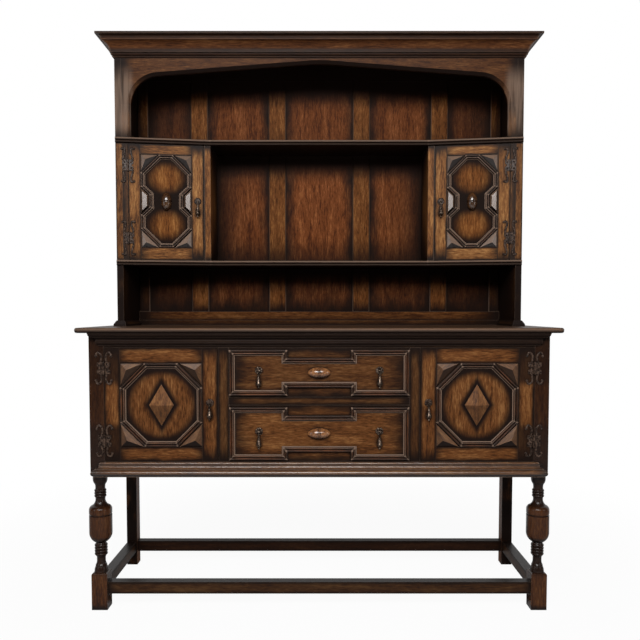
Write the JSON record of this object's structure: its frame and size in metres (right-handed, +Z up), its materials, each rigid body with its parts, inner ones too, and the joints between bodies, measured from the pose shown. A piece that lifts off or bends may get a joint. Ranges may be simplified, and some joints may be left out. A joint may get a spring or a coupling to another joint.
{
  "type": "kitchen dresser",
  "caption": "Oak dresser with turned legs, panelled cupboards and drawers below, and an arched rack with shelves and canted cupboards above.",
  "frame": {"origin": "on the floor, under the middle of the countertop outline", "axes": "+X to the right as seen from the front, +Y to the back, +Z up"},
  "size_m": [1.524, 0.486, 1.882],
  "materials": {
    "oak_frame": "waxed dark oak",
    "oak_panel": "waxed dark oak",
    "oak_moulding": "polished dark oak",
    "oak_inside": "plain oak",
    "bronze": "dark antique bronze"
  },
  "bodies": {
    "carcase": {"arch_head": "oak_frame", "back_frame": "oak_frame", "back_legs": "oak_frame", "back_panels": "oak_panel", "back_stretcher": "oak_frame", "base_back": "oak_panel", "base_ends": "oak_frame", "base_moulding": "oak_moulding", "base_partitions": "oak_inside", "cornice": "oak_moulding", "countertop": "oak_frame", "cupboard_partitions": "oak_frame", "drawer_runners": "oak_inside", "floor_board": "oak_inside", "frieze_moulding": "oak_moulding", "front_frame": "oak_frame", "front_leg_left": "oak_frame", "front_leg_right": "oak_frame", "front_stretcher": "oak_frame", "hinge_post_leaves": "bronze", "middle_shelf": "oak_frame", "rack_end_left": "oak_frame", "rack_end_right": "oak_frame", "rack_foot_mouldings": "oak_moulding", "rack_roof": "oak_inside", "rack_stiles": "oak_frame", "side_stretchers": "oak_frame", "top_shelf": "oak_frame"},
    "base_door_left": {"base_door_left_frame": "oak_frame", "base_door_left_panel": "oak_panel", "base_door_left_ornament": "oak_moulding", "base_door_left_fittings": "bronze"},
    "base_door_left_pull": {"base_door_left_drop": "bronze"},
    "base_door_right": {"base_door_right_frame": "oak_frame", "base_door_right_panel": "oak_panel", "base_door_right_ornament": "oak_moulding", "base_door_right_fittings": "bronze"},
    "base_door_right_pull": {"base_door_right_drop": "bronze"},
    "rack_door_left": {"rack_door_left_frame": "oak_frame", "rack_door_left_panel": "oak_panel", "rack_door_left_ornament": "oak_moulding", "rack_door_left_fittings": "bronze"},
    "rack_door_left_pull": {"rack_door_left_drop": "bronze"},
    "rack_door_right": {"rack_door_right_frame": "oak_frame", "rack_door_right_panel": "oak_panel", "rack_door_right_ornament": "oak_moulding", "rack_door_right_fittings": "bronze"},
    "rack_door_right_pull": {"rack_door_right_drop": "bronze"},
    "upper_drawer": {"upper_drawer_front": "oak_frame", "upper_drawer_box": "oak_inside", "upper_drawer_ornament": "oak_moulding", "upper_drawer_roses": "bronze"},
    "upper_drawer_pull_left": {"upper_drawer_drop_left": "bronze"},
    "upper_drawer_pull_right": {"upper_drawer_drop_right": "bronze"},
    "lower_drawer": {"lower_drawer_front": "oak_frame", "lower_drawer_box": "oak_inside", "lower_drawer_ornament": "oak_moulding", "lower_drawer_roses": "bronze"},
    "lower_drawer_pull_left": {"lower_drawer_drop_left": "bronze"},
    "lower_drawer_pull_right": {"lower_drawer_drop_right": "bronze"}
  },
  "joints": [
    {"name": "base_door_left_hinge", "type": "hinge", "parent": "carcase", "child": "base_door_left", "pos_m": [-0.6774, -0.2096, 0.6595], "axis": [0, 0, -1], "range_deg": [0, 100]},
    {"name": "base_door_left_pull_swing", "type": "hinge", "parent": "base_door_left", "child": "base_door_left_pull", "pos_m": [-0.34429, -0.216, 0.6655], "axis": [-1, 0, 0], "range_deg": [0, 70]},
    {"name": "base_door_right_hinge", "type": "hinge", "parent": "carcase", "child": "base_door_right", "pos_m": [0.6774, -0.2096, 0.6595], "axis": [0, 0, 1], "range_deg": [0, 100]},
    {"name": "base_door_right_pull_swing", "type": "hinge", "parent": "base_door_right", "child": "base_door_right_pull", "pos_m": [0.34429, -0.216, 0.6655], "axis": [-1, 0, 0], "range_deg": [0, 70]},
    {"name": "rack_door_left_hinge", "type": "hinge", "parent": "carcase", "child": "rack_door_left", "pos_m": [-0.65472, 0.0216, 1.32944], "axis": [0, 0, -1], "range_deg": [0, 100]},
    {"name": "rack_door_left_pull_swing", "type": "hinge", "parent": "rack_door_left", "child": "rack_door_left_pull", "pos_m": [-0.42172, 0.05045, 1.33544], "axis": [-0.9887, -0.1499, 0], "range_deg": [0, 70]},
    {"name": "rack_door_right_hinge", "type": "hinge", "parent": "carcase", "child": "rack_door_right", "pos_m": [0.65472, 0.0216, 1.32944], "axis": [0, 0, 1], "range_deg": [0, 100]},
    {"name": "rack_door_right_pull_swing", "type": "hinge", "parent": "rack_door_right", "child": "rack_door_right_pull", "pos_m": [0.42172, 0.05045, 1.33544], "axis": [-0.9887, 0.1499, 0], "range_deg": [0, 70]},
    {"name": "upper_drawer_slide", "type": "slide", "parent": "carcase", "child": "upper_drawer", "axis": [0, -1, 0], "range_m": [0, 0.3]},
    {"name": "upper_drawer_pull_left_swing", "type": "hinge", "parent": "upper_drawer", "child": "upper_drawer_pull_left", "pos_m": [-0.18999, -0.216, 0.7675], "axis": [-1, 0, 0], "range_deg": [0, 70]},
    {"name": "upper_drawer_pull_right_swing", "type": "hinge", "parent": "upper_drawer", "child": "upper_drawer_pull_right", "pos_m": [0.18999, -0.216, 0.7675], "axis": [-1, 0, 0], "range_deg": [0, 70]},
    {"name": "lower_drawer_slide", "type": "slide", "parent": "carcase", "child": "lower_drawer", "axis": [0, -1, 0], "range_m": [0, 0.3]},
    {"name": "lower_drawer_pull_left_swing", "type": "hinge", "parent": "lower_drawer", "child": "lower_drawer_pull_left", "pos_m": [-0.18999, -0.216, 0.575], "axis": [-1, 0, 0], "range_deg": [0, 70]},
    {"name": "lower_drawer_pull_right_swing", "type": "hinge", "parent": "lower_drawer", "child": "lower_drawer_pull_right", "pos_m": [0.18999, -0.216, 0.575], "axis": [-1, 0, 0], "range_deg": [0, 70]}
  ]
}
